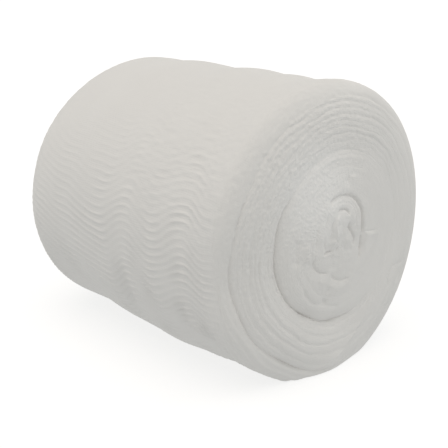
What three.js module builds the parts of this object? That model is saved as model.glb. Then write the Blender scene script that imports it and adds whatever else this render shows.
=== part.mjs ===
// Gauze bandage roll: one long absorbent cloth, folded lengthwise in four and wound on itself with no core.
// The roll lies on its side. Units are millimetres, +Z is up and +X runs along the winding axis.
import * as THREE from 'three';
import { ParametricGeometry } from 'three/addons/geometries/ParametricGeometry.js';
import { mergeGeometries, mergeVertices } from 'three/addons/utils/BufferGeometryUtils.js';

// Driving sizes
const ROLL_LENGTH = 228; // over the puffed folds at both ends
const ROLL_RADIUS = 90;
const FLAT_DEPTH = 1.6; // how far the soft roll settles where it lies on a surface
const STEPS_AROUND = 48; // facets in one turn
const RINGS_PER_TURN = 3; // one ring in the furrow between two turns, two on the turn's rounded fold
const WINDING_START = 244; // degrees: where the winding begins its first turn
const MERGE_DISTANCE = 1e-3; // vertices nearer than this are one

// The tight end, where the cloth's folds lie level, and the loose end, which is drawn in to a wide shoulder.
const TIGHT_END = {
  side: 1,
  shoulderInset: 14, // along the axis
  shoulderRise: 30, // across it
  turnPitch: 5.8, // between two furrows
  innerTurns: 5, // the crumpled middle, which has no furrows
  woundRings: 48, // rings from the middle to the last furrow
  barrelRings: 12,
  crown: 2.5, // how far the middle of the end stands proud
  crownRadius: 52,
  furrowDepth: 1.3,
};
const LOOSE_END = {
  side: -1,
  shoulderInset: 44,
  shoulderRise: 50,
  turnPitch: 8.7,
  innerTurns: 2,
  woundRings: 27,
  barrelRings: 12,
  crown: -2,
  crownRadius: 30,
  furrowDepth: 1.8,
};

// Furrows that stand open: radius, depth, the direction they face and how far round they reach, in degrees.
const OPEN_FURROWS = [
  { side: 1, name: 'plug edge, below', radius: 52, depth: 4.2, facing: 215, reach: 75 },
  { side: 1, name: 'plug edge, above', radius: 52, depth: 2, facing: 85, reach: 45 },
  { side: 1, name: 'outer wraps', radius: 84.6, depth: 3, facing: 165, reach: 100 },
  { side: -1, name: 'inner wraps', radius: 36, depth: 3, facing: 60, reach: 120 },
  { side: -1, name: 'outer wraps', radius: 71, depth: 2.4, facing: 60, reach: 110 },
];
const OPEN_FURROW_WIDTH = 3.2;

// Crevices of the crumpled middle: each runs from one radius and direction to another.
const CREVICES = [
  { side: 1, name: 'main, low', from: -38, to: 32, radiusFrom: 22, radiusTo: 19.5, depth: 5, width: 2.6 },
  { side: 1, name: 'main, high', from: 32, to: 122, radiusFrom: 19.5, radiusTo: 28.5, depth: 5, width: 2.6 },
  { side: 1, name: 'inner', from: 72, to: 124, radiusFrom: 13.5, radiusTo: 19, depth: 3.2, width: 2.4 },
  { side: 1, name: 'heart', from: -8, to: 64, radiusFrom: 10, radiusTo: 8, depth: 3, width: 2.4 },
  { side: 1, name: 'left', from: 150, to: 206, radiusFrom: 18, radiusTo: 11, depth: 2.6, width: 2.4 },
  { side: 1, name: 'lobe left', from: 188, to: 241, radiusFrom: 26.5, radiusTo: 20.5, depth: 3, width: 2.4 },
  { side: 1, name: 'lobe right', from: 241, to: 300, radiusFrom: 20.5, radiusTo: 26, depth: 2.6, width: 2.4 },
  { side: -1, name: 'drawn in', from: 20, to: 210, radiusFrom: 9, radiusTo: 17, depth: 4, width: 3.4 },
  { side: -1, name: 'inner', from: 200, to: 330, radiusFrom: 16, radiusTo: 22, depth: 3, width: 3.4 },
];
const CREVICE_FADE = 12; // degrees over which a crevice opens and closes
const CREVICE_START = 5; // millimetres from the very middle, which stays whole

// Where the soft barrel swells or sinks: place along the axis, direction it faces, height and spread.
const SWELLINGS = [
  { name: 'sagging rim', along: 106, facing: 290, height: 7, long: 32, wide: 42 },
  { name: 'rim, back', along: 104, facing: 0, height: -1, long: 30, wide: 30 },
  { name: 'belly', along: 26, facing: 238, height: 5.5, long: 60, wide: 32 },
  { name: 'sunken shoulder', along: -84, facing: 120, height: -4.5, long: 34, wide: 36 },
  { name: 'full shoulder', along: -84, facing: 212, height: 3.5, long: 34, wide: 26 },
];
// Soft bands where the wraps lie a little fuller or slacker around the barrel.
const BANDS = [
  { name: 'tight rim', along: 101, height: 1.8, long: 10 },
  { name: 'slack behind the rim', along: 79, height: -1.9, long: 9 },
  { name: 'slack before the second band', along: 52, height: -0.8, long: 8 },
  { name: 'second band', along: 31, height: 1, long: 10 },
  { name: 'slack before the third band', along: 8, height: -0.9, long: 10 },
  { name: 'third band', along: -24, height: 0.6, long: 11 },
  { name: 'slack past the third band', along: -44, height: -0.9, long: 10 },
];

const gauze = new THREE.MeshStandardMaterial({
  name: 'gauze',
  color: 0xf2f0ec,
  roughness: 0.95,
  metalness: 0,
});

// Difference between two directions, in degrees from -180 to 180.
function directionGap(a, b) {
  return THREE.MathUtils.euclideanModulo(a - b + 180, 360) - 180;
}

// A soft bump: 1 at the middle and fading to nothing a little past the spread.
function soft(distance, spread) {
  return Math.exp(-((distance / spread) ** 2));
}

// Half of the roll's outline, from the middle of one end to the middle of the barrel: x is the radius and
// y is the distance along the axis from the barrel's middle.
function outline(end) {
  const faceRadius = ROLL_RADIUS - end.shoulderRise;
  const half = ROLL_LENGTH / 2;
  const path = new THREE.Path();
  path.moveTo(0, half);
  path.lineTo(faceRadius, half);
  const shoulderAt = half - end.shoulderInset;
  path.absellipse(faceRadius, shoulderAt, end.shoulderRise, end.shoulderInset, Math.PI / 2, 0, true);
  path.lineTo(ROLL_RADIUS, 0);
  return path;
}

// The distance along the outline at a ring: narrow rings over the wound end, wide ones along the barrel.
function distanceAt(end, path, ring) {
  const ringWidth = end.turnPitch / RINGS_PER_TURN;
  if (ring <= end.woundRings) return ring * ringWidth;
  const wound = end.woundRings * ringWidth;
  return THREE.MathUtils.mapLinear(ring, end.woundRings, ringCount(end), wound, path.getLength());
}

function ringCount(end) {
  return end.woundRings + end.barrelRings;
}

// 1 on a ring in a furrow and 0 on a fold; the first furrow opens and the last one closes over a turn.
function furrowShare(end, row, ring) {
  if (row % RINGS_PER_TURN !== 0) return 0;
  const opening = THREE.MathUtils.smoothstep(ring / RINGS_PER_TURN, end.innerTurns, end.innerTurns + 1);
  const closing = THREE.MathUtils.smoothstep(end.woundRings - ring, 0, 1);
  return opening * closing;
}

// How deep the furrow between two turns is at this radius and direction.
function furrowDepth(end, radius, facing) {
  return OPEN_FURROWS.filter((furrow) => furrow.side === end.side).reduce((depth, furrow) => {
    const nearness = soft(radius - furrow.radius, OPEN_FURROW_WIDTH);
    return depth + furrow.depth * nearness * soft(directionGap(facing, furrow.facing), furrow.reach);
  }, end.furrowDepth);
}

// How deep a crevice of the crumpled middle is at this radius and direction; it fades at both its ends.
function creviceDepth(crevice, radius, facing) {
  const along = THREE.MathUtils.euclideanModulo(facing - crevice.from + CREVICE_FADE, 360) - CREVICE_FADE;
  const span = crevice.to - crevice.from;
  const opening = THREE.MathUtils.smoothstep(along, -CREVICE_FADE, CREVICE_FADE);
  const closing = 1 - THREE.MathUtils.smoothstep(along, span - CREVICE_FADE, span + CREVICE_FADE);
  const share = THREE.MathUtils.clamp(along / span, 0, 1);
  const middle = THREE.MathUtils.lerp(crevice.radiusFrom, crevice.radiusTo, share);
  return crevice.depth * opening * closing * soft(radius - middle, crevice.width);
}

// Height of the end's surface over its plain outline: the crown less the furrow or the crevices.
function reliefHeight(end, radius, facing, openness) {
  const crown = end.crown * (1 - Math.min(1, radius / end.crownRadius) ** 2);
  const furrow = openness * furrowDepth(end, radius, facing);
  const crevices = CREVICES.filter((crevice) => crevice.side === end.side)
    .reduce((depth, crevice) => depth + creviceDepth(crevice, radius, facing), 0);
  return crown - furrow - crevices * Math.min(1, radius / CREVICE_START);
}

// How far the barrel swells or sinks at a place, in millimetres at its full radius.
function swelling(along, facing) {
  const bands = BANDS.reduce((sum, band) => sum + band.height * soft(along - band.along, band.long), 0);
  return SWELLINGS.reduce((sum, place) => {
    const lengthwise = soft(along - place.along, place.long);
    return sum + place.height * lengthwise * soft(directionGap(facing, place.facing), place.wide);
  }, bands);
}

// A point of the wound cloth. The row is one turn's ring carried all the way round: by the time it has gone
// round once, it lies where the next turn began. Rows are held back at the end's middle and at the barrel's.
function woundPoint(end, path, row, column, target) {
  const share = column / STEPS_AROUND;
  const ring = THREE.MathUtils.clamp(row + RINGS_PER_TURN * share, 0, ringCount(end));
  const facing = WINDING_START + 360 * (column % STEPS_AROUND) / STEPS_AROUND;
  const distance = distanceAt(end, path, ring) / path.getLength();
  const plain = path.getPoint(distance);
  const tangent = path.getTangent(distance);

  const height = reliefHeight(end, plain.x, facing, furrowShare(end, row, ring));
  const radius = plain.x - tangent.y * height;
  const along = end.side * (plain.y + tangent.x * height);

  const reach = radius * (1 + swelling(along, facing) / ROLL_RADIUS);
  const angle = THREE.MathUtils.degToRad(facing);
  const lowest = FLAT_DEPTH - ROLL_RADIUS;
  target.set(along, reach * Math.cos(angle), Math.max(lowest, reach * Math.sin(angle)));
}

// One half of the roll, from the middle of an end to the middle of the barrel.
function halfRoll(end) {
  const path = outline(end);
  const stacks = ringCount(end) + RINGS_PER_TURN;
  const point = (u, v, target) => {
    const step = Math.round(v * stacks);
    const row = (end.side > 0 ? stacks - step : step) - RINGS_PER_TURN;
    woundPoint(end, path, row, Math.round(u * STEPS_AROUND), target);
  };
  return new ParametricGeometry(point, STEPS_AROUND, stacks);
}

// Joins touching vertices and drops the triangles that closed up when they met.
function closed(geometry) {
  geometry.deleteAttribute('normal');
  geometry.deleteAttribute('uv');
  const merged = mergeVertices(geometry, MERGE_DISTANCE);
  const corners = Array.from(merged.index.array);
  const kept = [];
  for (let i = 0; i < corners.length; i += 3) {
    const [a, b, c] = corners.slice(i, i + 3);
    if (a !== b && b !== c && c !== a) kept.push(a, b, c);
  }
  merged.setIndex(kept);
  return merged;
}

// Stands the shape on the surface, with the middle of its box over the origin.
function stand(geometry) {
  geometry.computeBoundingBox();
  const box = geometry.boundingBox;
  const middle = box.getCenter(new THREE.Vector3());
  geometry.translate(-middle.x, -middle.y, -box.min.z);
  geometry.computeVertexNormals();
  return geometry;
}

function makeRoll() {
  const geometry = mergeGeometries([halfRoll(TIGHT_END), halfRoll(LOOSE_END)]);
  const roll = new THREE.Mesh(stand(closed(geometry)), gauze);
  roll.name = 'gauze_roll';
  return roll;
}

const model = new THREE.Group();
model.name = 'gauze_bandage_roll';
model.add(makeRoll());

export default model;
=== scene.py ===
"""Gauze bandage roll: the wound cloth at the finish of the real one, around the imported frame.

The barrel is the outermost turn of the cloth, with the wavy crimps that a crinkled weave shows. Each end is
wound folds: a spiral of rounded ridges, their cross ribs and the crumpled middle. Sizes in this file are in
millimetres and degrees until a mesh is made. Places along the roll are measured from its middle towards the
tight end. A facing of 0 looks along +Y, 90 looks up and 180 is the side that shows.
"""
import math

import bmesh
import bpy
import numpy as np
from mathutils import Matrix, Vector


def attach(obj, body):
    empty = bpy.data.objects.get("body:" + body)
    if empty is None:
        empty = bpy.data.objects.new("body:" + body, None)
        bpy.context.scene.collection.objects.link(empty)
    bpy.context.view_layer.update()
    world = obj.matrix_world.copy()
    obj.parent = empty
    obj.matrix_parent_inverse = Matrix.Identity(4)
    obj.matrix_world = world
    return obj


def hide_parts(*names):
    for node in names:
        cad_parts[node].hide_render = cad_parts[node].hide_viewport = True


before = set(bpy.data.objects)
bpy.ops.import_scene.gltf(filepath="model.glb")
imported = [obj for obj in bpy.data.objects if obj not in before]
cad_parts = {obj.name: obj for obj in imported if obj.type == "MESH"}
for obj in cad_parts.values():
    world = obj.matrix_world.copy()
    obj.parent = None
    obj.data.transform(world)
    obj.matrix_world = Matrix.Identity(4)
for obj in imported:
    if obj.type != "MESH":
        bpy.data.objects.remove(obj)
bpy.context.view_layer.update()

MM = 0.001
FULL_TURN = 360
NOISE_CELLS = 256
NOISE_GAIN = 1.8
FLAT_TOP = 3  # as a power of soft(), where 2 gives a bell
SQUARE_TOP = 4

# ---------------------------------------------------------------- driving sizes, as in the part's source
ROLL_LENGTH = 228
ROLL_RADIUS = 90
FLAT_DEPTH = 1.6
WINDING_START = 244
AXIS = (-1.25, 0.45, ROLL_RADIUS - FLAT_DEPTH)  # the winding axis at the barrel's middle, in the row frame
SETTLING = 0.35  # millimetres over which the underside eases into its flat spot
ARC_STEPS = 400  # steps along the quarter turn of a shoulder

TIGHT_END = {
    "side": 1, "shoulder_inset": 14, "shoulder_rise": 30, "pitch": 5.8,
    "crown": 2.5, "crown_radius": 52,
}
LOOSE_END = {
    "side": -1, "shoulder_inset": 44, "shoulder_rise": 50, "pitch": 8.7,
    "crown": -2, "crown_radius": 30,
}

# Where the soft barrel swells or sinks: place along the axis, direction it faces, height and spread.
SWELLINGS = [
    {"name": "sagging rim", "along": 106, "facing": 290, "height": 7, "long": 32, "wide": 42},
    {"name": "rim, back", "along": 104, "facing": 0, "height": -1, "long": 30, "wide": 30},
    {"name": "rim, where it lifts", "along": 104, "facing": 240, "height": -1.7, "long": 11, "wide": 13},
    {"name": "rim, top", "along": 100, "facing": 84, "height": -1.1, "long": 14, "wide": 30},
    {"name": "belly", "along": 26, "facing": 238, "height": 4.5, "long": 60, "wide": 32},
    {"name": "sunken shoulder", "along": -84, "facing": 130, "height": -4.5, "long": 34, "wide": 36},
    {"name": "full shoulder", "along": -84, "facing": 212, "height": 3.5, "long": 34, "wide": 26},
]
BANDS = [
    {"name": "tight rim", "along": 101, "height": 1.8, "long": 10},
    {"name": "slack behind the rim", "along": 79, "height": -1.9, "long": 9},
    {"name": "slack before the second band", "along": 52, "height": -0.8, "long": 8},
    {"name": "second band", "along": 31, "height": 1, "long": 10},
    {"name": "slack before the third band", "along": 8, "height": -0.9, "long": 10},
    {"name": "third band", "along": -24, "height": 0.6, "long": 11},
    {"name": "slack past the third band", "along": -44, "height": -0.9, "long": 10},
]
# How strongly the bands show, by the direction faced.
BAND_SHARE = [(0, 1), (70, 1), (110, 0.75), (150, 0.5), (240, 0.5), (290, 1)]

# ---------------------------------------------------------------- the folds of the two ends
# Rings where one group of turns meets the next: their radius and how deep they open, by the direction faced.
PLUG_EDGE = {
    "end": TIGHT_END, "wander": 0.4, "seed": 11,
    "radius": [(0, 50), (60, 51.5), (100, 52.3), (150, 51.3), (180, 49.4), (240, 49.8), (280, 50.5)],
    "depth": [(0, 0.05), (45, 0.12), (85, 0.3), (125, 0.4), (155, 2.3), (210, 3.9), (265, 2.9),
              (290, 0.9), (315, 0.1)],
}
NEAR_LIP = {
    "end": TIGHT_END, "wander": 0.8, "seed": 12,
    "radius": [(0, 81), (60, 82), (110, 81), (150, 80.4), (200, 80.2), (250, 81), (290, 80)],
    "depth": [(0, 0.1), (60, 0.15), (120, 0.12), (150, 0.5), (190, 1.5), (225, 1.8), (250, 2.2),
              (285, 0.6), (325, 0.15)],
}
FAR_LIP = {
    "end": LOOSE_END, "wander": 1.4, "seed": 13,
    "radius": [(0, 71), (180, 71)],
    "depth": [(0, 2.4), (60, 2.6), (180, 1.8), (240, 1.2)],
}
FAR_PLUG_EDGE = {
    "end": LOOSE_END, "wander": 1.2, "seed": 14,
    "radius": [(0, 36), (180, 37)],
    "depth": [(60, 3.2), (160, 1.8), (240, 1), (330, 2)],
}
RING_CELLS = 24  # patches of wander in one ring
GROOVE_WIDTH = 1.6
GROOVE_SHOULDER = {"share": 0.5, "width": 7}
GROOVE_UNEVENNESS = {"share": 0.25, "cells": 40}

# Low swells of an end, which lean its turns outward or inward: place, height and spread.
TIGHT_SWELLS = [
    {"name": "rounded shoulder, left", "radius": 86, "facing": 190, "height": -5.6, "spread": 31},
    {"name": "rounded shoulder, low left", "radius": 84, "facing": 222, "height": -1.6, "spread": 22},
    {"name": "plug, upper left", "radius": 19, "facing": 117, "height": 3.4, "spread": 32},
    {"name": "full foot", "radius": 86, "facing": 270, "height": 3, "spread": 17},
]
LOOSE_SWELLS = [
    {"name": "shoulder, above", "radius": 62, "facing": 80, "height": -2, "spread": 26},
    {"name": "shoulder, below", "radius": 58, "facing": 230, "height": 1.6, "spread": 24},
]
SWELLS_STOP = (92, 118)  # distances from the end's middle, past the rim, between which the swells die away

# Creases of the crumpled middle, and single creases further out. Each runs through places given as radius
# and facing; height under 0 is a crease and over 0 a ridge.
TIGHT_STROKES = [
    {"name": "main arch, left", "height": -1.8, "width": 0.9,
     "places": [(27.1, 124), (27.5, 116), (27.4, 105), (26.6, 94), (25.8, 84)]},
    {"name": "main arch, right", "height": -2.1, "width": 1.05,
     "places": [(26.4, 94), (25.6, 81), (24.9, 72), (24, 62), (22.7, 51), (22.3, 40)]},
    {"name": "main, right of the heart", "height": -2.3, "width": 0.95,
     "places": [(22.8, 50), (21.5, 37), (20.2, 30), (19.1, 16), (19.3, 4), (20, 356)]},
    {"name": "main, tail", "height": -1.3, "width": 0.85,
     "places": [(19.2, 2), (18.7, 352), (19.2, 342), (20.5, 332), (21.4, 323)]},
    {"name": "main, tail's end", "height": -1.1, "width": 0.9,
     "places": [(20.6, 329), (21.4, 324), (22, 319)]},
    {"name": "main, where a fold tucks in", "height": -0.9, "width": 1.1,
     "places": [(19.6, 1), (20.2, 357)]},
    {"name": "fold under the arch", "height": -0.45, "width": 0.7,
     "places": [(23.4, 116), (23.2, 103), (21.8, 86), (19.7, 71), (16.6, 58), (13, 39), (11.7, 7)]},
    {"name": "second fold under the arch", "height": -0.4, "width": 0.7,
     "places": [(26.2, 117), (25.7, 105), (24.3, 90), (22.2, 76), (19.3, 59), (16.6, 43), (14.8, 22)]},
    {"name": "inner arch", "height": -1.5, "width": 0.7,
     "places": [(19, 117), (19.2, 109), (18.6, 100), (17.8, 90), (15.8, 82), (13.3, 77)]},
    {"name": "heart, right side", "height": -1.3, "width": 0.7,
     "places": [(11.2, 77), (9.5, 70), (7.4, 53), (7.3, 17), (9.4, 353), (10.9, 338), (11.4, 322)]},
    {"name": "heart, left ridge", "height": 1, "width": 1.3,
     "places": [(17.4, 110), (15.7, 123), (13, 137), (9.3, 154), (9.4, 182), (10.8, 200)]},
    {"name": "left of the heart", "height": -0.8, "width": 0.8,
     "places": [(18.2, 124), (15.7, 140), (13.1, 159), (13.5, 182)]},
    {"name": "heart, low crease", "height": -0.8, "width": 0.8,
     "places": [(6.2, 205), (7.5, 222), (9.6, 232)]},
    {"name": "heart, crease within", "height": -0.5, "width": 0.7,
     "places": [(9, 96), (6.5, 110), (4.5, 140)]},
    {"name": "heart, tuck", "height": -0.8, "width": 1,
     "places": [(9, 170), (6.3, 183)]},
    {"name": "heart, underneath", "height": -1.4, "width": 0.7,
     "places": [(19.6, 199), (15.9, 202), (12.7, 206), (9.2, 215)]},
    {"name": "pillow under the heart", "height": 0.5, "width": 1.4,
     "places": [(20.6, 202), (16.6, 206), (12.8, 216), (11, 235), (12, 252)]},
    {"name": "lobe, left", "height": -1.1, "width": 0.7,
     "places": [(25.2, 193), (26.1, 200), (26.5, 208), (25.6, 217), (24.3, 227), (21.9, 242)]},
    {"name": "lobe, right", "height": -0.9, "width": 0.8,
     "places": [(21.5, 245), (22.6, 249), (23.7, 259), (25.1, 268), (25.7, 277), (26.4, 290)]},
    {"name": "ridge under the lobes", "height": 0.42, "width": 2.2,
     "places": [(30.4, 225), (28.4, 233), (27.6, 245), (28.6, 258), (29.5, 270), (29.2, 281), (28.6, 292)]},
    {"name": "hollow under the ridge", "height": -0.6, "width": 2.4,
     "places": [(29.8, 246), (31.5, 252), (33, 255)]},
    {"name": "dimple", "height": -1.1, "width": 1.4,
     "places": [(37.9, 251), (37.9, 254)]},
    {"name": "line by the dimple", "height": -0.35, "width": 1,
     "places": [(43.2, 233), (40.5, 247), (40.1, 262), (41.9, 274)]},
    {"name": "plug, low left", "height": -0.7, "width": 1.1,
     "places": [(39.4, 219), (40.3, 230), (41.4, 240)]},
    {"name": "plug, left ridge", "height": 0.7, "width": 1.8,
     "places": [(31.8, 173), (30.3, 180), (29.5, 188), (29.7, 200)]},
    {"name": "plug, left hollow", "height": -0.8, "width": 2.6,
     "places": [(36.3, 168), (37.4, 178), (37.6, 186), (38, 198)]},
    {"name": "wrinkle, outer", "height": -0.5, "width": 0.7,
     "places": [(26.2, 150), (25, 163), (24.3, 176), (23.3, 187)]},
    {"name": "wrinkle, low", "height": -0.6, "width": 0.7,
     "places": [(18.9, 165), (17.5, 182), (16.3, 202)]},
    {"name": "wrinkle, high", "height": -0.5, "width": 0.7,
     "places": [(23.8, 128), (22, 144), (20.5, 157)]},
    {"name": "tuck, dark", "height": -0.55, "width": 0.7,
     "places": [(20, 359), (25, 357.5), (30, 356.5), (36, 356)]},
    {"name": "tuck, raised", "height": 0.5, "width": 1.9,
     "places": [(21, 353.5), (26, 352.5), (31, 352), (38, 352)]},
    {"name": "plug, above", "height": -0.5, "width": 1.1,
     "places": [(38.6, 88), (35.1, 85), (30.8, 87)]},
    {"name": "plug, above right", "height": 0.6, "width": 1.5,
     "places": [(39, 76), (35.1, 78), (31.6, 80)]},
    {"name": "plug's raised border", "height": 0.32, "width": 1.7,
     "places": [(48, 158), (49, 148), (49.4, 138), (49.6, 128), (49.4, 116), (49, 104), (48.4, 92),
                (47.4, 78), (46.6, 66)]},
    {"name": "line over the border", "height": -0.25, "width": 0.6,
     "places": [(53.6, 140), (53.8, 128), (53.8, 116), (53.4, 104), (52.8, 92), (52, 80), (51.4, 70)]},
    {"name": "rim crease, long", "height": -0.45, "width": 1,
     "places": [(86, 341), (74, 335), (62.7, 330), (62, 322), (68, 319)]},
    {"name": "rim crease, short", "height": -0.4, "width": 1,
     "places": [(80, 335), (76, 329), (74, 323)]},
    {"name": "light fold, low right", "height": 0.4, "width": 1.7,
     "places": [(83, 252), (79, 262), (73, 273), (66, 284), (60, 296), (57, 308)]},
    {"name": "rim crease, low", "height": -0.35, "width": 1.2,
     "places": [(84, 318), (76, 312), (69, 310)]},
]
LOOSE_STROKES = [
    {"name": "drawn in, left", "height": -3.4, "width": 1.3,
     "places": [(9, 20), (12, 60), (14, 110), (16, 160), (17, 205)]},
    {"name": "drawn in, right", "height": -2.6, "width": 1.2,
     "places": [(16, 200), (19, 240), (22, 280), (23, 320), (24, 350)]},
    {"name": "heart", "height": -2, "width": 1,
     "places": [(7, 230), (3, 190), (5, 90), (8, 60)]},
    {"name": "pleat, above", "height": -1.2, "width": 1.1,
     "places": [(18, 84), (24, 88), (31, 86)]},
    {"name": "pleat, below", "height": -1.1, "width": 1.1,
     "places": [(24, 290), (30, 297), (36, 300)]},
    {"name": "pleat, left", "height": -1, "width": 1,
     "places": [(20, 176), (27, 182), (34, 181)]},
]
STROKE_STEPS = 10  # straight steps between two of a stroke's places
STROKE_FADE = 4.5  # millimetres over which the ends of a long one fade
STROKE_POWER = 1.4  # how peaked a crease is across
STROKES_STOP = (92, 106)  # distances from the end's middle between which all strokes fade
SHORTEST_STEP = 1e-9
VALLEY = {"share": 0.4, "width": 3.4, "reach": 3}  # the soft hollow beside a crease; its reach is in widths

# The turns' ridges: how strongly each kind shows by the direction it faces, and how strongly on the plug.
# The wrap steps say how far apart the outer wrap's rows lie, up to a share of the way to the barrel's middle.
TIGHT_FOLDS = {
    "end": TIGHT_END, "edge": PLUG_EDGE, "lip": NEAR_LIP, "seed": 21,
    "swells": TIGHT_SWELLS, "strokes": TIGHT_STROKES,
    "bundle": [(0, 0.16), (35, 0.3), (60, 0.3), (90, 0.1), (150, 0.1), (200, 0.5), (240, 0.5),
               (275, 0.42), (300, 0.3), (330, 0.08)],
    "turn": [(0, 0.12), (35, 0.3), (60, 0.65), (90, 0.8), (130, 0.6), (180, 0.9), (215, 0.45),
             (250, 0.15), (285, 0.1), (330, 0.05)],
    "rib": [(0, 0.03), (50, 0.15), (75, 0.7), (105, 1.1), (150, 1.2), (190, 1), (225, 0.5),
            (270, 0.15), (320, 0.03)],
    "plug_share": 0.4,
    "wrap_steps": [(0.1, 0.8), (0.32, 1.2), (1, 2.2)],
}
LOOSE_FOLDS = {
    "end": LOOSE_END, "edge": FAR_PLUG_EDGE, "lip": FAR_LIP, "seed": 22,
    "swells": LOOSE_SWELLS, "strokes": LOOSE_STROKES,
    "bundle": [(0, 2), (90, 2.4), (180, 1.8), (270, 1.6)],
    "turn": [(0, 1.2), (90, 1.6), (180, 1), (270, 1.1)],
    "rib": [(0, 1), (90, 1.8), (180, 1), (270, 0.6)],
    "plug_share": 0.6,
    "wrap_steps": [(0.08, 1.2), (0.4, 2.2), (1, 2.4)],
}
TURNS_START = (0.5, 4)  # millimetres past the plug's edge over which the ridges begin
TURNS_STOP = (-0.5, 3)  # millimetres past the lip over which they end
PLUG_START = (0.5, 0.75)  # shares of the plug's size over which they begin on the plug
PLUG_STOP = (-3, 0)  # millimetres past its edge over which they end there

# A ridge is a bundle of turns, or one of the folded turns in it: how far it bulges, how deep and wide its
# furrow is, and how long a stretch of furrow keeps one depth. A seed is added to the end's own.
BUNDLE = {"seed": 2, "depth": 0.55, "width": 0.9, "bulge": 0.42, "stretch": 26}
TURN = {"seed": 3, "pitch": 3.7, "depth": 0.3, "width": 0.62, "bulge": 0.2, "stretch": 13}
RIDGE_ROUNDNESS = 0.8
RIDGE_MEAN = 0.6
FURROW_LIVELINESS = 0.6
RIB = {"seed": 4, "height": 0.13, "spacing": 1.1}
# Patches of unevenness: their height, how many there are in one turn and how long they are the other way.
SWAY = [
    {"seed": 0, "height": 0.9, "cells": 30, "length": 7},
    {"seed": 1, "height": 0.4, "cells": 96, "length": 3.4},
]
PEBBLES = {"seed": 5, "height": 0.15, "cells": 290, "length": 0.95, "starts": (14, 28), "stops": (96, 122)}
PEBBLE_SHARE = [(0, 0), (50, 0.2), (80, 0.8), (115, 1.1), (160, 1.2), (195, 0.9), (235, 0.3), (290, 0)]
CRUMPLES = [
    {"name": "big", "seed": 7, "height": 0.55, "cells": 10, "length": 5.5, "starts": (0, 5)},
    {"name": "small", "seed": 8, "height": 0.16, "cells": 40, "length": 1.9, "starts": (2, 9)},
]
CRUMPLES_STOP = (24, 37.5)  # radii between which the crumpled middle smooths out

# ---------------------------------------------------------------- the barrel's crimps
# The wave that each crimp follows along the barrel: where its crests and troughs lie, and how far round the
# roll they move it.
WAVE_TURNS = [(-112, 26), (-40, 1), (0, -7), (25, 7), (47, -5), (75, 5.5), (91, -2), (108, 0)]
WAVE_DRIFT = {"seed": 41, "height": 1.5, "cells": 20, "length": 38}  # moves the wave along the roll
WAVE_STRENGTH = {"seed": 42, "height": 0.25, "cells": 20, "length": 30, "shift": 9}
WAVE_JITTER = {"seed": 43, "height": 1.2, "cells": 40, "length": 12}
CRIMP_PITCH = 5
CRIMP_SHARPNESS = 3.8
CRIMP_HOLLOW = 0.3  # how deep the hollows between the crimps are, as a share of their height
CRIMP_LIVELY = {"seed": 50, "mean": 0.85, "height": 0.5, "cells": 60, "length": 9, "limits": (0.15, 1.5)}
# How high the crimps stand, in millimetres, along the roll, and the share of it by direction.
CRIMP_HEIGHT = [
    (-104, 0), (-90, 0.28), (-66, 0.5), (-48, 0.58), (-36, 0.48), (-24, 0.4), (-10, 0.55), (0, 0.82),
    (12, 0.6), (24, 0.78), (36, 0.62), (48, 0.52), (60, 0.45), (72, 0.88), (84, 0.64), (94, 0.42), (104, 0),
]
CRIMP_SHARE = [
    (0, 0.6), (35, 0.3), (65, 0), (126, 0), (142, 0.3), (156, 0.38), (168, 0.58), (180, 1), (192, 1.35),
    (206, 1.35), (220, 1), (240, 0.4), (258, 0), (300, 0), (335, 0.7),
]
# On the side that shows, the crimps begin higher up towards the tight end.
CRIMP_SLANT = {"facing": 145, "wide": 28, "degrees_per_mm": 0.16}
CREPE = {"along": 56, "long": 46, "facing": 143, "wide": 28}
CREPE_LUMPS = {"seed": 51, "height": 0.24, "cells": 360, "length": 3.4}
SLOW_UNEVENNESS = {"seed": 44, "height": 0.35, "cells": 20, "length": 30}
CUT_END = {"facing": 322, "height": 0.9, "fade": 7}  # the cloth's cut end, laid flat on the hidden side
BARREL_FADE = 26  # millimetres past the shoulder over which the barrel's own relief begins
RIM_TURNS = {"from_shoulder": 16, "long": 15, "facing": 238, "wide": 48, "pitch": 5.2, "height": 0.4}
RIM_SWAY = {"seed": 61, "height": 0.5, "cells": 24, "length": 20}

# ---------------------------------------------------------------- the meshes
PIECES_OF_ENDS = [
    {"name": "near_plug", "form": "plug", "folds": TIGHT_FOLDS, "columns": 560, "row_step": 0.45},
    {"name": "near_turns", "form": "turns", "folds": TIGHT_FOLDS, "columns": 1000, "row_step": 0.42},
    {"name": "far_plug", "form": "plug", "folds": LOOSE_FOLDS, "columns": 320, "row_step": 0.6},
    {"name": "far_turns", "form": "turns", "folds": LOOSE_FOLDS, "columns": 640, "row_step": 0.6},
]
SKIRT = {"depth": 9, "inset": 1}  # the plug's hidden side
BACK = {"depth": 11, "rows": 5, "inset": 0.02}  # the turns' hidden side, inset by a share of their width
# The outer wrap is four plies thick at its lips. Between them the unseen inner wall has few rows, so it lies
# a little deeper.
WRAP = {
    "columns": 640, "crowding": 0.42, "thickness": 1.3, "lip_rows": 4, "inner_depth": 2.2, "inner_every": 6,
}
SHOWN_SIDE = 180

# ---------------------------------------------------------------- the cloth's look
GAUZE_COLOUR = (0.80, 0.786, 0.766, 1)
GAUZE_SHADE = (0.755, 0.742, 0.724, 1)
TONES = [{"size": 30, "detail": 3, "share": 0.7}, {"size": 1.6, "detail": 1, "share": 0.3}]
FUZZ = {"size": 0.7, "detail": 2, "share": 0.5}
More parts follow.
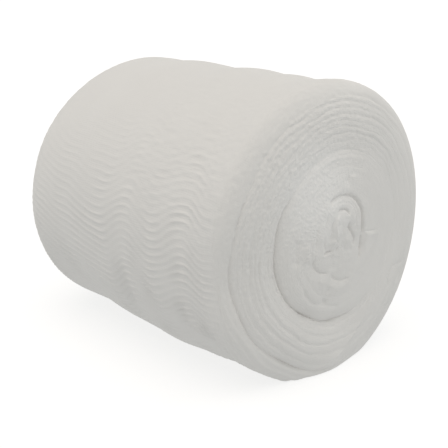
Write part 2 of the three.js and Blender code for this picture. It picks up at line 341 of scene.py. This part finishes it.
# Painted light: a paler patch on the near end, above and left of its middle, where that end is lit more. It
# is placed from the middle of the roll.
PAINTED_LIGHT_PATCH = {"centre": (116, -22, 30), "from": 6, "to": 42, "share": 0.75, "colour": (0.88, 0.872, 0.86, 1)}
THREAD_ROUNDNESS = 0.6
WEAVE = {"warp": 1.34, "weft": 1.69, "bend": 4, "bend_size": 20, "bend_detail": 1, "relief": 0.05}
FOLDED_EDGES = {
    "pitch": 1.1, "bend": 6, "bend_size": 12, "bend_detail": 2, "cross_size": 1.3, "cross_detail": 2,
    "relief": 0.09,
}
FINISH = {"Roughness": 0.92, "Specular IOR Level": 0.25, "Sheen Weight": 0.15, "Sheen Roughness": 0.5}

# ---------------------------------------------------------------- the camera and the light
CAMERA = {"azimuth": 47.55, "elevation": 17.45, "distance": 574, "lens": 67.6, "sensor": 36}
CLIP = (0.01, 100)  # metres
# How far the middle of the view lies from the frame's origin, raised to the height of the winding axis.
AIM = {"right": 9.09, "up": -17.27}
LIGHTS = [
    {"name": "top_box", "azimuth": 20, "elevation": 76, "strength": 0.825, "colour": (1, 0.91, 0.82)},
    {"name": "right_box", "azimuth": 155, "elevation": 4, "strength": 0.67, "colour": (0.98, 1, 1)},
    {"name": "left_box", "azimuth": -20, "elevation": 6, "strength": 0.1, "colour": (1, 0.96, 0.96)},
]
LIGHT_SPREAD = 60
SKY = {"colour": (0.99, 1, 0.985), "strength": 0.618}
# The floor, in metres and degrees: flat out to its radius, with rings at shares of it, then a curve upwards.
FLOOR = {
    "radius": 5.0, "rings": (0.1, 0.3, 0.6, 1.0), "curve": 4.0, "curve_end": 80, "curve_step": 8, "sides": 96,
}
FLOOR_PAINT = {
    "Base Color": (0.5, 0.5, 0.5, 1), "Roughness": 0.9, "Specular IOR Level": 0.0,
    "Emission Color": (1, 1, 1, 1), "Emission Strength": 0.62,
}


# ================================================================ helpers on arrays
def soft(distance, spread, power=2):
    return np.exp(-np.abs(distance / spread) ** power)


def gap(a, b):
    """Difference between two directions, from -180 to 180 degrees."""
    return (a - b + FULL_TURN / 2) % FULL_TURN - FULL_TURN / 2


def smoothstep(value, low, high):
    share = np.clip((value - low) / (high - low), 0, 1)
    return share * share * (3 - 2 * share)


def by_facing(table, facing):
    """A value from a short table of (facing, value) rows, eased from one row to the next."""
    angles = np.array([row[0] for row in table], float)
    values = np.array([row[1] for row in table], float)
    angles = np.append(angles, angles[0] + FULL_TURN)
    values = np.append(values, values[0])
    return eased(angles, values, angles[0] + (facing - angles[0]) % FULL_TURN)


def by_place(table, along):
    """A value from a short table of (place along the roll, value) rows, eased from one row to the next."""
    places, values = (np.array(column, float) for column in zip(*table))
    return eased(places, values, along)


def eased(places, values, at):
    """Values at places, joined by smooth steps."""
    index = np.clip(np.searchsorted(places, at, side="right") - 1, 0, len(places) - 2)
    low, high = places[index], places[index + 1]
    share = smoothstep(at, low, high)
    return values[index] * (1 - share) + values[index + 1] * share


def noise(seed, u, v=0.0, period=NOISE_CELLS):
    """Smooth noise from about -1 to 1, one lattice cell to a unit; it repeats along u after a period."""
    table = np.random.default_rng(seed).uniform(-1, 1, (period, NOISE_CELLS))
    u, v = np.broadcast_arrays(np.asarray(u, float), np.asarray(v, float))
    cell_u, cell_v = np.floor(u).astype(int), np.floor(v).astype(int)
    total = 0
    for step_u, weight_u in enumerate(spline_weights(u - cell_u)):
        for step_v, weight_v in enumerate(spline_weights(v - cell_v)):
            corner = table[(cell_u + step_u) % period, (cell_v + step_v) % NOISE_CELLS]
            total = total + weight_u * weight_v * corner
    return NOISE_GAIN * total


def spline_weights(share):
    return 0.5 * (1 - share) ** 2, 0.5 + share * (1 - share), 0.5 * share ** 2


def patches(kind, place, facing, own_seed=0):
    """A kind of unevenness, at places that run across its turns and at the directions that they face."""
    around = facing * kind["cells"] / FULL_TURN
    across = place / kind["length"] + kind.get("shift", 0)
    return kind["height"] * noise(own_seed + kind["seed"], around, across, kind["cells"])


# ================================================================ the roll's plain form
def profile_table(end):
    """The end's outline: distance from its middle, radius, place along the axis, how far it has turned."""
    face = ROLL_RADIUS - end["shoulder_rise"]
    shoulder_at = ROLL_LENGTH / 2 - end["shoulder_inset"]
    turn = np.linspace(0, math.pi / 2, ARC_STEPS)
    radius = np.concatenate([[0], face + end["shoulder_rise"] * np.sin(turn), [ROLL_RADIUS]])
    along = np.concatenate([[ROLL_LENGTH / 2], shoulder_at + end["shoulder_inset"] * np.cos(turn), [0]])
    turned = np.concatenate([[0], turn, [math.pi / 2]])
    distance = np.concatenate([[0], np.cumsum(np.hypot(np.diff(radius), np.diff(along)))])
    return distance, radius, along, turned


for one_end in (TIGHT_END, LOOSE_END):
    one_end["table"] = profile_table(one_end)
    one_end["length"] = one_end["table"][0][-1]


def radius_at(end, distance):
    return np.interp(distance, end["table"][0], end["table"][1])


def distance_of(end, radius):
    """The distance along the outline at which the plain end has this radius."""
    distances, radii = end["table"][:2]
    return np.interp(radius, radii[:-1], distances[:-1])


def swelling(along, facing):
    total = sum(band["height"] * soft(along - band["along"], band["long"]) for band in BANDS)
    total = total * by_facing(BAND_SHARE, facing)
    for place in SWELLINGS:
        lengthwise = soft(along - place["along"], place["long"])
        total = total + place["height"] * lengthwise * soft(gap(facing, place["facing"]), place["wide"])
    return total


def surface(end, distance, facing, height):
    """Points of the roll, in millimetres in the row frame, at a height over the plain outline."""
    distances, radii, alongs, turns = end["table"]
    turned = np.interp(distance, distances, turns)
    lean_out = end["shoulder_inset"] * np.sin(turned)
    lean_along = end["shoulder_rise"] * np.cos(turned)
    size = np.hypot(lean_out, lean_along)
    radius = np.interp(distance, distances, radii) + height * lean_out / size
    along = end["side"] * (np.interp(distance, distances, alongs) + height * lean_along / size)
    reach = radius * (1 + swelling(along, facing) / ROLL_RADIUS)
    angle = np.radians(facing)
    rise = AXIS[2] + reach * np.sin(angle)
    rise = SETTLING * np.logaddexp(0, rise / SETTLING)
    return np.stack([AXIS[0] + along, AXIS[1] + reach * np.cos(angle), rise], axis=-1)


# ================================================================ relief of the ends
def ring_distance(ring, facing):
    """Where a ring between two groups of turns runs, as a distance along the end's outline."""
    wander = ring["wander"] * noise(ring["seed"], facing * RING_CELLS / FULL_TURN, 0, RING_CELLS)
    return distance_of(ring["end"], by_facing(ring["radius"], facing)) + wander


def ring_groove(ring, distance, facing):
    away = np.abs(distance - ring_distance(ring, facing))
    cells = GROOVE_UNEVENNESS["cells"]
    uneven = 1 + GROOVE_UNEVENNESS["share"] * noise(ring["seed"] + 1, facing * cells / FULL_TURN, 0, cells)
    shoulder = GROOVE_SHOULDER["share"] * soft(away, GROOVE_SHOULDER["width"])
    return -by_facing(ring["depth"], facing) * uneven * (np.exp(-away / GROOVE_WIDTH) + shoulder)


def ridges(kind, distance, facing, pitch, own_seed):
    """A spiral's rounded ridges over their furrows, how near a furrow is, and how far along the spiral."""
    share = ((facing - WINDING_START) % FULL_TURN) / FULL_TURN
    turns = distance / pitch - share
    furrow = np.round(turns)
    away = np.abs(turns - furrow) * pitch
    run = math.pi * pitch * (np.floor(turns) + 0.5 + share) ** 2
    furrow_run = math.pi * pitch * (furrow + share) ** 2
    liveliness = 1 + FURROW_LIVELINESS * noise(own_seed + kind["seed"], furrow_run / kind["stretch"])
    bulge = kind["bulge"] * ((2 * away / pitch) ** RIDGE_ROUNDNESS - RIDGE_MEAN)
    return bulge - kind["depth"] * liveliness * soft(away, kind["width"]), away, run


def wound_folds(folds, distance, facing):
    """The spiral's bundles of turns, the folded turns in them and their cross ribs."""
    seed = folds["seed"]
    edge = ring_distance(folds["edge"], facing)
    lip = ring_distance(folds["lip"], facing)
    in_turns = smoothstep(distance, edge + TURNS_START[0], edge + TURNS_START[1])
    in_turns = in_turns * (1 - smoothstep(distance, lip + TURNS_STOP[0], lip + TURNS_STOP[1]))
    in_plug = folds["plug_share"] * smoothstep(distance, edge * PLUG_START[0], edge * PLUG_START[1])
    in_plug = in_plug * (1 - smoothstep(distance, edge + PLUG_STOP[0], edge + PLUG_STOP[1]))
    shown = in_turns + in_plug
    swayed = distance + sum(patches(wave, distance, facing, seed) for wave in SWAY)
    bundle, _, _ = ridges(BUNDLE, swayed, facing, folds["end"]["pitch"], seed)
    turn, near_furrow, run = ridges(TURN, swayed, facing, TURN["pitch"], seed)
    height = shown * (by_facing(folds["bundle"], facing) * bundle + by_facing(folds["turn"], facing) * turn)
    on_turn = 1 - soft(near_furrow, TURN["width"])
    rib = noise(seed + RIB["seed"], run / RIB["spacing"])
    return height + RIB["height"] * by_facing(folds["rib"], facing) * shown * on_turn * rib


def pebbles(folds, distance, facing):
    """Small lumps where the cloth's cut threads stand up, over the turns and past the rim."""
    window = smoothstep(distance, *PEBBLES["starts"]) * (1 - smoothstep(distance, *PEBBLES["stops"]))
    return by_facing(PEBBLE_SHARE, facing) * window * patches(PEBBLES, distance, facing, folds["seed"])


def crumple(folds, radius, facing):
    """Small puffs and folds of the loosely wound middle, drawn out along the turns."""
    total = 0
    for kind in CRUMPLES:
        total = total + smoothstep(radius, *kind["starts"]) * patches(kind, radius, facing, folds["seed"])
    return (1 - smoothstep(radius, *CRUMPLES_STOP)) * total


def swells(mounds, distance, radius, facing):
    """Low mounds and hollows, given by their places in the end's plane."""
    angle = np.radians(facing)
    across, up = radius * np.cos(angle), radius * np.sin(angle)
    total = 0
    for mound in mounds:
        middle = math.radians(mound["facing"])
        reach = np.hypot(across - mound["radius"] * math.cos(middle), up - mound["radius"] * math.sin(middle))
        total = total + mound["height"] * soft(reach, mound["spread"])
    return total * (1 - smoothstep(distance, *SWELLS_STOP))


def spline(places, steps):
    """A smooth line through places in the end's plane, each given as radius and facing."""
    points = np.array([(r * math.cos(math.radians(a)), r * math.sin(math.radians(a))) for r, a in places])
    padded = np.vstack([2 * points[0] - points[1], points, 2 * points[-1] - points[-2]])
    share = np.linspace(0, 1, steps, endpoint=False)[:, None]
    line = []
    for a, b, c, d in zip(padded, padded[1:], padded[2:], padded[3:]):
        line.append(0.5 * (2 * b + (c - a) * share + (2 * a - 5 * b + 4 * c - d) * share ** 2
                           + (3 * b - a - 3 * c + d) * share ** 3))
    return np.vstack(line + [points[-1:]])


def stroke_relief(strokes, radius, facing):
    """Creases and ridges that run through listed points."""
    angle = np.radians(facing)
    spot = np.stack([radius * np.cos(angle), radius * np.sin(angle)], axis=-1)
    height = np.zeros(radius.shape)
    for stroke in strokes:
        line = spline(stroke["places"], STROKE_STEPS)
        span = np.concatenate([[0], np.cumsum(np.hypot(*np.diff(line, axis=0).T))])
        margin = VALLEY["reach"] * VALLEY["width"]
        low, high = line.min(0) - margin, line.max(0) + margin
        near = np.all((spot > low) & (spot < high), axis=-1)
        away, run = distance_to_line(spot[near], line, span)
        fade = 1
        if span[-1] > STROKE_FADE:
            ending = min(STROKE_FADE, span[-1] / 2)
            fade = smoothstep(run, 0, ending) * smoothstep(span[-1] - run, 0, ending)
        valley = VALLEY["share"] * soft(away, VALLEY["width"])
        height[near] += stroke["height"] * fade * (soft(away, stroke["width"], STROKE_POWER) + valley)
    return height


def distance_to_line(spots, line, span):
    """Each spot's distance to a line of straight steps, and how far along the line the nearest point is."""
    best = np.full(len(spots), np.inf)
    run = np.zeros(len(spots))
    for start, stop, begun, length in zip(line, line[1:], span, np.diff(span)):
        share = np.clip((spots - start) @ (stop - start) / max(length, SHORTEST_STEP) ** 2, 0, 1)
        away = np.hypot(*(spots - start - share[:, None] * (stop - start)).T)
        closer = away < best
        best = np.where(closer, away, best)
        run = np.where(closer, begun + share * length, run)
    return best, run


def crown(end, radius):
    return end["crown"] * (1 - np.minimum(1, radius / end["crown_radius"]) ** 2)


def end_relief(folds, distance, facing):
    """How high an end's folds, creases, grooves and swells stand over its plain outline."""
    radius = radius_at(folds["end"], distance)
    height = crown(folds["end"], radius) + wound_folds(folds, distance, facing)
    for ring in (folds["edge"], folds["lip"]):
        height = height + ring_groove(ring, distance, facing)
    on_end = 1 - smoothstep(distance, *STROKES_STOP)
    height = height + on_end * stroke_relief(folds["strokes"], radius, facing)
    height = height + pebbles(folds, distance, facing) + swells(folds["swells"], distance, radius, facing)
    return height + crumple(folds, radius, facing)


# ================================================================ relief of the barrel
def crimps(along, facing):
    """Wavy crimps along the roll: narrow ridges with wide hollows between them."""
    wave = by_place(WAVE_TURNS, along + patches(WAVE_DRIFT, along, facing))
    wave = wave * (1 + patches(WAVE_STRENGTH, along, facing)) + patches(WAVE_JITTER, along, facing)
    slanted = soft(gap(facing, CRIMP_SLANT["facing"]), CRIMP_SLANT["wide"])
    slant = CRIMP_SLANT["degrees_per_mm"] * along * slanted
    strength = by_place(CRIMP_HEIGHT, along) * by_facing(CRIMP_SHARE, facing + slant)
    lively = np.clip(CRIMP_LIVELY["mean"] + patches(CRIMP_LIVELY, along, facing), *CRIMP_LIVELY["limits"])
    turn = 2 * math.pi * (np.radians(facing) * ROLL_RADIUS + wave) / CRIMP_PITCH
    return strength * lively * ((0.5 + 0.5 * np.cos(turn)) ** CRIMP_SHARPNESS - CRIMP_HOLLOW)


def crepe(along, facing):
    """Fine crepe above the crimps, towards the tight end."""
    lengthwise = soft(along - CREPE["along"], CREPE["long"], FLAT_TOP)
    around = soft(gap(facing, CREPE["facing"]), CREPE["wide"])
    return lengthwise * around * patches(CREPE_LUMPS, along, facing)


def barrel_relief(end, distance, facing):
    """Crimps, crepe, slow unevenness and the cut end of the outermost turn."""
    along = end["side"] * np.interp(distance, end["table"][0], end["table"][2])
    shoulder = end["length"] - ROLL_LENGTH / 2
    on_barrel = smoothstep(distance, shoulder, shoulder + BARREL_FADE)
    away = (facing - CUT_END["facing"]) % FULL_TURN
    step = CUT_END["height"] * np.exp(-away / CUT_END["fade"])
    slow = patches(SLOW_UNEVENNESS, along, facing)
    return on_barrel * (crimps(along, facing) + crepe(along, facing) + slow + step)


def rim_turns(end, distance, facing):
    """The edges of the last turns, as soft lines round the tight end's rim."""
    if end is not TIGHT_END:
        return 0
    run = distance - end["length"] + ROLL_LENGTH / 2
    window = soft(gap(facing, RIM_TURNS["facing"]), RIM_TURNS["wide"], FLAT_TOP)
    window = window * soft(run - RIM_TURNS["from_shoulder"], RIM_TURNS["long"], SQUARE_TOP)
    line = np.cos(2 * math.pi * (run / RIM_TURNS["pitch"] + patches(RIM_SWAY, distance, facing)))
    return RIM_TURNS["height"] * window * line


def dressed(folds, distance, facing, sunk=0.0):
    """Points of the roll's surface with all its relief, or of a layer sunk under it."""
    end = folds["end"]
    height = end_relief(folds, distance, facing) + barrel_relief(end, distance, facing)
    return surface(end, distance, facing, height + rim_turns(end, distance, facing) - sunk)


# ================================================================ meshes
def columns(count, crowding=0.0):
    """Directions round the roll, which may crowd towards the side that shows."""
    share = np.arange(count) / count
    swing = crowding * FULL_TURN / (2 * math.pi)
    return (SHOWN_SIDE + FULL_TURN * share + swing * -np.sin(2 * math.pi * share)) % FULL_TURN


def make_mesh(name, rows, capped, sharp_rows=()):
    """A closed mesh from rings of points: its ends are capped, or its last ring meets its first."""
    count = rows[0].shape[0]
    points = np.concatenate(rows)
    ring_count = len(rows)
    ring = np.arange(ring_count if not capped else ring_count - 1)[:, None] * count
    step = np.arange(count)[None, :]
    beside = (step + 1) % count
    above = (ring + count) % (ring_count * count)
    quads = np.stack([ring + step, ring + beside, above + beside, above + step], axis=-1).reshape(-1, 4)
    triangles = np.zeros((0, 3), int)
    if capped:
        centres = np.stack([rows[0].mean(0), rows[-1].mean(0)])
        points = np.concatenate([points, centres])
        first, last = len(points) - 2, len(points) - 1
        low = np.stack([np.full(count, first), beside[0], step[0]], axis=-1)
        top = (ring_count - 1) * count
        high = np.stack([np.full(count, last), top + step[0], top + beside[0]], axis=-1)
        triangles = np.concatenate([low, high])
    mesh = bpy.data.meshes.new(name)
    mesh.vertices.add(len(points))
    mesh.vertices.foreach_set("co", (points * MM).astype(np.float32).ravel())
    corners = np.concatenate([quads.ravel(), triangles.ravel()])
    mesh.loops.add(len(corners))
    mesh.loops.foreach_set("vertex_index", corners.astype(np.int32))
    sizes = np.concatenate([np.full(len(quads), 4), np.full(len(triangles), 3)])
    mesh.polygons.add(len(sizes))
    starts = np.concatenate([[0], np.cumsum(sizes)[:-1]])
    mesh.polygons.foreach_set("loop_start", starts.astype(np.int32))
    mesh.polygons.foreach_set("use_smooth", np.ones(len(sizes), bool))
    mesh.update(calc_edges=True)
    mesh.validate()
    mark_sharp(mesh, sharp_rows, count, ring_count)
    piece = bpy.data.objects.new(name, mesh)
    bpy.context.scene.collection.objects.link(piece)
    return piece


def mark_sharp(mesh, sharp_rows, count, ring_count):
    """Keeps the shading of a seam's two sides apart, so that the hidden side leaves no shadow line."""
    ends = np.zeros(len(mesh.edges) * 2, np.int32)
    mesh.edges.foreach_get("vertices", ends)
    ring = ends.reshape(-1, 2) // count
    rows = [row % ring_count for row in sharp_rows]
    sharp = (ring[:, 0] == ring[:, 1]) & np.isin(ring[:, 0], rows)
    mesh.attributes.new("sharp_edge", "BOOLEAN", "EDGE").data.foreach_set("value", sharp)


def outward(piece):
    """Turns the piece's faces outward if its volume comes out below nothing."""
    made = bmesh.new()
    made.from_mesh(piece.data)
    if made.calc_volume(signed=True) < 0:
        piece.data.flip_normals()
    made.free()
    return piece


def end_plug(name, folds, count, row_step):
    """The middle of an end: a disc out to the first ring groove, with a hidden skirt and back."""
    facing = columns(count)
    edge = ring_distance(folds["edge"], facing)
    steps = math.ceil(edge.max() / row_step)
    rows = [dressed(folds, edge * step / steps, facing) for step in range(1, steps + 1)]
    rows.append(dressed(folds, edge - SKIRT["inset"], facing, sunk=SKIRT["depth"]))
    return outward(make_mesh(name, rows, capped=True, sharp_rows=[steps - 1]))


def end_turns(name, folds, count, row_step):
    """The wound turns between an end's two ring grooves, closed behind."""
    facing = columns(count)
    inner = ring_distance(folds["edge"], facing)
    outer = ring_distance(folds["lip"], facing)
    steps = math.ceil((outer - inner).max() / row_step)
    shares = np.linspace(0, 1, steps + 1)
    rows = [dressed(folds, inner + (outer - inner) * share, facing) for share in shares]
    behind = np.full(count, -BACK["depth"])
    for share in np.linspace(1 - BACK["inset"], BACK["inset"], BACK["rows"]):
        rows.append(surface(folds["end"], inner + (outer - inner) * share, facing, behind))
    return outward(make_mesh(name, rows, capped=False, sharp_rows=[0, steps]))


def wrap_rows(folds, facing):
    """Where the outer wrap's rows run, from its lip to the barrel's middle, as distances on the outline."""
    length = folds["end"]["length"]
    start = ring_distance(folds["lip"], facing)
    reach = length - float(np.mean(start))
    shares = []
    low = 0.0
    for high, step in folds["wrap_steps"]:
        amount = max(1, round((high - low) * reach / step))
        shares.extend(np.linspace(low, high, amount, endpoint=False))
        low = high
    return [start + (length - start) * share for share in shares]


def make_outer_wrap():
    """The outermost turn: the whole barrel, tucked into each end's ring groove, as a thin closed cloth."""
    facing = columns(WRAP["columns"], WRAP["crowding"])
    places = [(TIGHT_FOLDS, distance) for distance in wrap_rows(TIGHT_FOLDS, facing)]
    places.append((TIGHT_FOLDS, np.full(WRAP["columns"], TIGHT_END["length"])))
    places.extend((LOOSE_FOLDS, distance) for distance in reversed(wrap_rows(LOOSE_FOLDS, facing)))
    rows = [dressed(folds, distance, facing) for folds, distance in places]
    last = len(rows) - 1
    for number in range(last, -1, -1):
        folds, distance = places[number]
        if number < WRAP["lip_rows"] or number > last - WRAP["lip_rows"]:
            rows.append(dressed(folds, distance, facing, sunk=WRAP["thickness"]))
        elif number % WRAP["inner_every"] == 0:
            rows.append(dressed(folds, distance, facing, sunk=WRAP["inner_depth"]))
    return outward(make_mesh("outer_wrap", rows, capped=False, sharp_rows=[0, last]))


# ================================================================ materials
class Nodes:
    """Builds a material's node graph; a value may be a number, a colour or another node's output."""

    def __init__(self, name):
        self.material = bpy.data.materials.new(name)
        self.material.use_nodes = True
        self.tree = self.material.node_tree
        self.shader = self.tree.nodes["Principled BSDF"]

    def add(self, kind, inputs=None, output=0, **settings):
        made = self.tree.nodes.new(kind)
        for key, value in settings.items():
            setattr(made, key, value)
        for key, value in (inputs or {}).items():
            self.give(made.inputs[key], value)
        return made.outputs[output]

    def give(self, socket, value):
        if isinstance(value, bpy.types.NodeSocket):
            self.tree.links.new(value, socket)
        else:
            socket.default_value = value

    def math(self, operation, a, b=0.0):
        return self.add("ShaderNodeMath", {0: a, 1: b}, operation=operation)

    def mix(self, share, low, high):
        return self.add("ShaderNodeMix", {"Factor": share, "A": low, "B": high}, output=2, data_type="RGBA")

    def noise(self, place, size, detail):
        return self.add("ShaderNodeTexNoise", {"Vector": place, "Scale": 1 / (size * MM), "Detail": detail})

    def set_constants(self, table):
        for socket, value in table.items():
            self.shader.inputs[socket].default_value = value


def thread(nodes, place, pitch):
    """The rounded height of threads laid side by side."""
    wave = nodes.math("SINE", nodes.math("MULTIPLY", place, math.pi / (pitch * MM)))
    return nodes.math("POWER", nodes.math("ABSOLUTE", wave), THREAD_ROUNDNESS)


def roll_place(nodes):
    """Places measured from the winding axis: as a vector, and apart as along, across and up."""
    position = nodes.add("ShaderNodeTexCoord", output="Object")
    centred = nodes.add("ShaderNodeVectorMath", {0: position, 1: [-v * MM for v in AXIS]}, operation="ADD")
    split = nodes.tree.nodes.new("ShaderNodeSeparateXYZ")
    nodes.tree.links.new(centred, split.inputs[0])
    return centred, *split.outputs


def bending(nodes, centred, look):
    """How far the threads stray from their even places."""
    stray = nodes.noise(centred, look["bend_size"], look["bend_detail"])
    return nodes.math("MULTIPLY", stray, look["bend"] * MM)


def painted_light_share(nodes, centred):
    """How much of the painted light, the paler patch on the near end, a place has."""
    centre = [v * MM for v in PAINTED_LIGHT_PATCH["centre"]]
    away = nodes.add("ShaderNodeVectorMath", {0: centred, 1: centre}, output=1, operation="DISTANCE")
    inputs = {
        "Value": away, "From Min": PAINTED_LIGHT_PATCH["from"] * MM, "From Max": PAINTED_LIGHT_PATCH["to"] * MM,
        "To Min": PAINTED_LIGHT_PATCH["share"], "To Max": 0.0,
    }
    return nodes.add("ShaderNodeMapRange", inputs, interpolation_type="SMOOTHSTEP")


def finish_gauze(nodes, centred, height, relief):
    """The tones, the near end's painted light, fuzz and sheen that both gauze materials share, over a
    pattern's height.
    """
    tones = [nodes.math("MULTIPLY", nodes.noise(centred, tone["size"], tone["detail"]), tone["share"])
             for tone in TONES]
    colour = nodes.mix(nodes.math("ADD", *tones), GAUZE_SHADE, GAUZE_COLOUR)
    # painted light: the upper left of the near end is made paler, as if lit more
    colour = nodes.mix(painted_light_share(nodes, centred), colour, PAINTED_LIGHT_PATCH["colour"])
    fuzz = nodes.math("MULTIPLY", nodes.noise(centred, FUZZ["size"], FUZZ["detail"]), FUZZ["share"])
    total = nodes.math("ADD", height, fuzz)
    bump = nodes.add("ShaderNodeBump", {"Strength": 1.0, "Distance": relief * MM, "Height": total})
    nodes.give(nodes.shader.inputs["Base Color"], colour)
    nodes.give(nodes.shader.inputs["Normal"], bump)
    nodes.set_constants(FINISH)
    return nodes.material


def gauze_barrel():
    """The open plain weave, seen square on."""
    nodes = Nodes("gauze_weave")
    centred, along, across, up = roll_place(nodes)
    bend = bending(nodes, centred, WEAVE)
    weft = thread(nodes, nodes.math("ADD", along, bend), WEAVE["weft"])
    arc = nodes.math("MULTIPLY", nodes.math("ARCTAN2", up, across), ROLL_RADIUS * MM)
    warp = thread(nodes, nodes.math("ADD", arc, bend), WEAVE["warp"])
    return finish_gauze(nodes, centred, nodes.math("ADD", weft, warp), WEAVE["relief"])


def gauze_folds():
    """The cloth's folded edges: fine turns side by side, and the weave across them."""
    nodes = Nodes("gauze_folded_edges")
    look = FOLDED_EDGES
    centred, _, across, up = roll_place(nodes)
    squares = nodes.math("ADD", nodes.math("MULTIPLY", across, across), nodes.math("MULTIPLY", up, up))
    bend = bending(nodes, centred, look)
    turns = thread(nodes, nodes.math("ADD", nodes.math("SQRT", squares), bend), look["pitch"])
    cross = nodes.noise(centred, look["cross_size"], look["cross_detail"])
    return finish_gauze(nodes, centred, nodes.math("ADD", turns, cross), look["relief"])


# ================================================================ stage
def direction(azimuth, elevation):
    """The direction from the roll towards something; an azimuth of 0 lies on the side that faces -Y."""
    azimuth, elevation = math.radians(azimuth), math.radians(elevation)
    level = math.cos(elevation)
    return Vector((math.sin(azimuth) * level, -math.cos(azimuth) * level, math.sin(elevation)))


def camera_axes():
    azimuth = math.radians(CAMERA["azimuth"])
    back = direction(CAMERA["azimuth"], CAMERA["elevation"])
    right = Vector((math.cos(azimuth), math.sin(azimuth), 0))
    return right, back.cross(right), back


def make_camera():
    right, up, back = camera_axes()
    target = Vector((0, 0, AXIS[2])) + right * AIM["right"] + up * AIM["up"]
    data = bpy.data.cameras.new("camera")
    data.lens = CAMERA["lens"]
    data.sensor_width = CAMERA["sensor"]
    data.sensor_fit = "HORIZONTAL"
    data.clip_start, data.clip_end = CLIP
    camera = bpy.data.objects.new("camera", data)
    bpy.context.scene.collection.objects.link(camera)
    camera.matrix_world = Matrix.Translation((target + back * CAMERA["distance"]) * MM) @ Matrix(
        (right, up, back)).transposed().to_4x4()
    bpy.context.scene.camera = camera


def make_floor():
    """A pale floor that sweeps up into a low wall far behind, so that no horizon shows."""
    outline = [(FLOOR["radius"] * share, 0.0) for share in FLOOR["rings"]]
    for degrees in range(FLOOR["curve_step"], FLOOR["curve_end"] + 1, FLOOR["curve_step"]):
        turn = math.radians(degrees)
        reach = FLOOR["radius"] + FLOOR["curve"] * math.sin(turn)
        outline.append((reach, FLOOR["curve"] * (1 - math.cos(turn))))
    sides = FLOOR["sides"]
    made = bmesh.new()
    centre = made.verts.new((0, 0, 0))
    inner = None
    angles = [2 * math.pi * side / sides for side in range(sides)]
    for radius, rise in outline:
        ring = [made.verts.new((radius * math.cos(a), radius * math.sin(a), rise)) for a in angles]
        for side in range(sides):
            after = (side + 1) % sides
            if inner is None:
                made.faces.new((centre, ring[side], ring[after]))
            else:
                made.faces.new((inner[side], ring[side], ring[after], inner[after]))
        inner = ring
    mesh = bpy.data.meshes.new("floor")
    made.to_mesh(mesh)
    made.free()
    mesh.polygons.foreach_set("use_smooth", [True] * len(mesh.polygons))
    floor = bpy.data.objects.new("floor", mesh)
    bpy.context.scene.collection.objects.link(floor)
    nodes = Nodes("floor_paint")
    nodes.set_constants(FLOOR_PAINT)
    mesh.materials.append(nodes.material)
    floor.visible_diffuse = False


def make_light():
    world = bpy.data.worlds.new("sky")
    world.use_nodes = True
    background = world.node_tree.nodes["Background"]
    background.inputs["Color"].default_value = (*SKY["colour"], 1)
    background.inputs["Strength"].default_value = SKY["strength"]
    bpy.context.scene.world = world
    for light in LIGHTS:
        data = bpy.data.lights.new(light["name"], "SUN")
        data.energy = light["strength"]
        data.angle = math.radians(LIGHT_SPREAD)
        data.color = light["colour"]
        lamp = bpy.data.objects.new(light["name"], data)
        towards = direction(light["azimuth"], light["elevation"])
        lamp.rotation_euler = towards.to_track_quat("Z", "Y").to_euler()
        bpy.context.scene.collection.objects.link(lamp)
    bpy.context.scene.view_settings.view_transform = "Standard"


# ================================================================ assembly
make_camera()
make_light()
make_floor()

weave = gauze_barrel()
folded = gauze_folds()
outer_wrap = make_outer_wrap()
pieces = [(outer_wrap, weave)]
for row in PIECES_OF_ENDS:
    make = end_plug if row["form"] == "plug" else end_turns
    pieces.append((make(row["name"], row["folds"], row["columns"], row["row_step"]), folded))
for piece, material in pieces:
    piece.data.materials.append(material)
    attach(piece, "root")
    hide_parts("gauze_roll")
